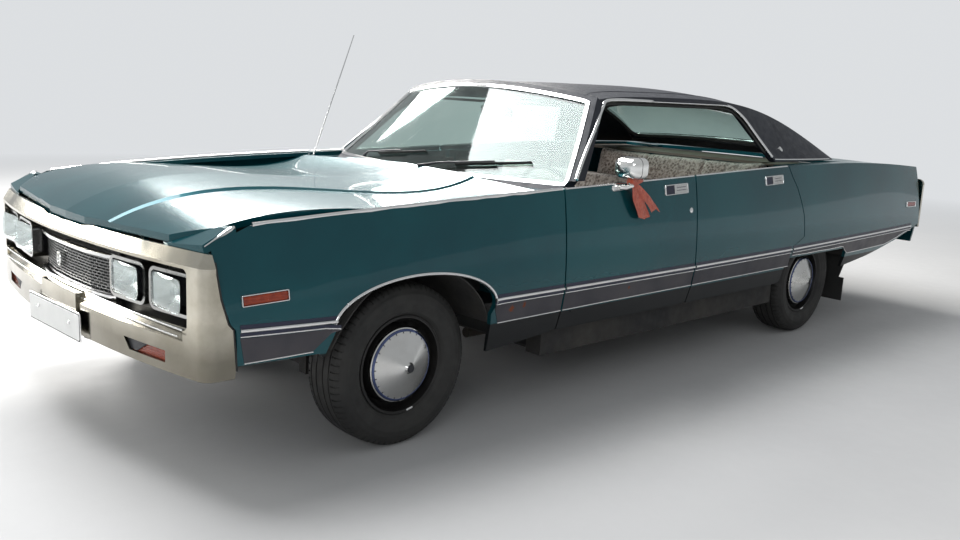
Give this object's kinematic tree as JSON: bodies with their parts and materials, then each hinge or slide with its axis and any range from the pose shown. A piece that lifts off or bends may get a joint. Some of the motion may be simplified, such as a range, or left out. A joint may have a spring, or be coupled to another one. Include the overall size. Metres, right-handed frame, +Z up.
{
  "type": "four-door hardtop sedan",
  "caption": "Full-size four-door hardtop sedan with loop front bumper, opening doors, hood and deck lid, steered front wheels and turning wheels.",
  "frame": {"origin": "on the ground below the middle of the car", "axes": "+X from the nose to the tail, +Y to the car's right side, +Z up"},
  "size_m": [5.7049, 2.0531, 1.6283],
  "materials": {
    "body_paint": "metallic gloss",
    "roof_vinyl": "grained vinyl",
    "under_paint": "satin black",
    "bumper_chrome": "dull chrome",
    "bright_trim": "polished",
    "grille_metal": "dull",
    "dark_panel": "satin",
    "lamp_glass": "clear",
    "tail_glass": "red lens",
    "amber_glass": "amber lens",
    "window_glass": "tinted",
    "tyre": "worn",
    "rubber": "matte",
    "rim_steel": "satin black",
    "cast_parts": "dusty",
    "seat_cloth": "shiny brocade",
    "dash_plastic": "soft",
    "ribbon_cloth": "satin"
  },
  "bodies": {
    "body": {"front_fender_left": "body_paint", "front_fender_right": "body_paint", "quarter_left": "body_paint", "quarter_right": "body_paint", "cowl": "body_paint", "roof": "roof_vinyl", "windshield_frame": "body_paint", "windshield": "window_glass", "backlight": "window_glass", "tail_panel": "body_paint", "floor_pan": "under_paint", "front_frame": "under_paint", "front_crossmember": "under_paint", "rear_axle": "cast_parts", "leaf_springs": "cast_parts", "drive_shaft": "cast_parts", "exhaust": "cast_parts", "fuel_tank": "under_paint", "engine": "cast_parts", "mud_flaps": "rubber", "front_bumper": "bumper_chrome", "rear_bumper": "bumper_chrome", "grille": "grille_metal", "lamp_panel": "dark_panel", "headlamps": "lamp_glass", "lamp_bezels": "bright_trim", "turn_signals": "amber_glass", "tail_lamps": "tail_glass", "front_seat": "seat_cloth", "rear_seat": "seat_cloth", "parcel_shelf": "dash_plastic", "dashboard": "dash_plastic", "steering_wheel": "dash_plastic", "aerial": "bright_trim"},
    "hood": {"hood": "body_paint"},
    "deck_lid": {"deck_lid": "body_paint"},
    "door_front_left": {"door_front_left": "body_paint", "mirror": "bright_trim", "ribbon": "ribbon_cloth"},
    "door_front_right": {"door_front_right": "body_paint"},
    "door_rear_left": {"door_rear_left": "body_paint"},
    "door_rear_right": {"door_rear_right": "body_paint"},
    "knuckle_left": {"knuckle_left": "cast_parts"},
    "knuckle_right": {"knuckle_right": "cast_parts"},
    "wheel_front_left": {"tyre_front_left": "tyre", "rim_front_left": "rim_steel", "hubcap_front_left": "bright_trim"},
    "wheel_front_right": {"tyre_front_right": "tyre", "rim_front_right": "rim_steel", "hubcap_front_right": "bright_trim"},
    "wheel_rear_left": {"tyre_rear_left": "tyre", "rim_rear_left": "rim_steel", "hubcap_rear_left": "bright_trim"},
    "wheel_rear_right": {"tyre_rear_right": "tyre", "rim_rear_right": "rim_steel", "hubcap_rear_right": "bright_trim"}
  },
  "joints": [
    {"name": "steer_left", "type": "hinge", "parent": "body", "child": "knuckle_left", "pos_m": [-1.9025, -0.7, 0.32], "axis": [0, 0, 1], "range_deg": [-30, 30]},
    {"name": "steer_right", "type": "hinge", "parent": "body", "child": "knuckle_right", "pos_m": [-1.9025, 0.7, 0.32], "axis": [0, 0, 1], "range_deg": [-30, 30]},
    {"name": "spin_front_left", "type": "hinge", "parent": "knuckle_left", "child": "wheel_front_left", "pos_m": [-1.9025, -0.8, 0.32], "axis": [0, 1, 0], "continuous": true},
    {"name": "spin_front_right", "type": "hinge", "parent": "knuckle_right", "child": "wheel_front_right", "pos_m": [-1.9025, 0.8, 0.32], "axis": [0, 1, 0], "continuous": true},
    {"name": "spin_rear_left", "type": "hinge", "parent": "body", "child": "wheel_rear_left", "pos_m": [1.2475, -0.8, 0.32], "axis": [0, 1, 0], "continuous": true},
    {"name": "spin_rear_right", "type": "hinge", "parent": "body", "child": "wheel_rear_right", "pos_m": [1.2475, 0.8, 0.32], "axis": [0, 1, 0], "continuous": true},
    {"name": "door_front_left_hinge", "type": "hinge", "parent": "body", "child": "door_front_left", "pos_m": [-1.054, -0.971, 0.6], "axis": [0, 0, -1], "range_deg": [0, 65]},
    {"name": "door_front_right_hinge", "type": "hinge", "parent": "body", "child": "door_front_right", "pos_m": [-1.054, 0.971, 0.6], "axis": [0, 0, 1], "range_deg": [0, 65]},
    {"name": "door_rear_left_hinge", "type": "hinge", "parent": "body", "child": "door_rear_left", "pos_m": [-0.074, -0.971, 0.6], "axis": [0, 0, -1], "range_deg": [0, 65]},
    {"name": "door_rear_right_hinge", "type": "hinge", "parent": "body", "child": "door_rear_right", "pos_m": [-0.074, 0.971, 0.6], "axis": [0, 0, 1], "range_deg": [0, 65]},
    {"name": "hood_hinge", "type": "hinge", "parent": "body", "child": "hood", "pos_m": [-1.19, 0, 0.992], "axis": [0, 1, 0], "range_deg": [0, 50]},
    {"name": "deck_lid_hinge", "type": "hinge", "parent": "body", "child": "deck_lid", "pos_m": [1.7175, 0, 1.044], "axis": [0, -1, 0], "range_deg": [0, 60]}
  ],
  "couplings": [
    {"joint": "steer_right", "follows": "steer_left", "ratio": 1}
  ]
}
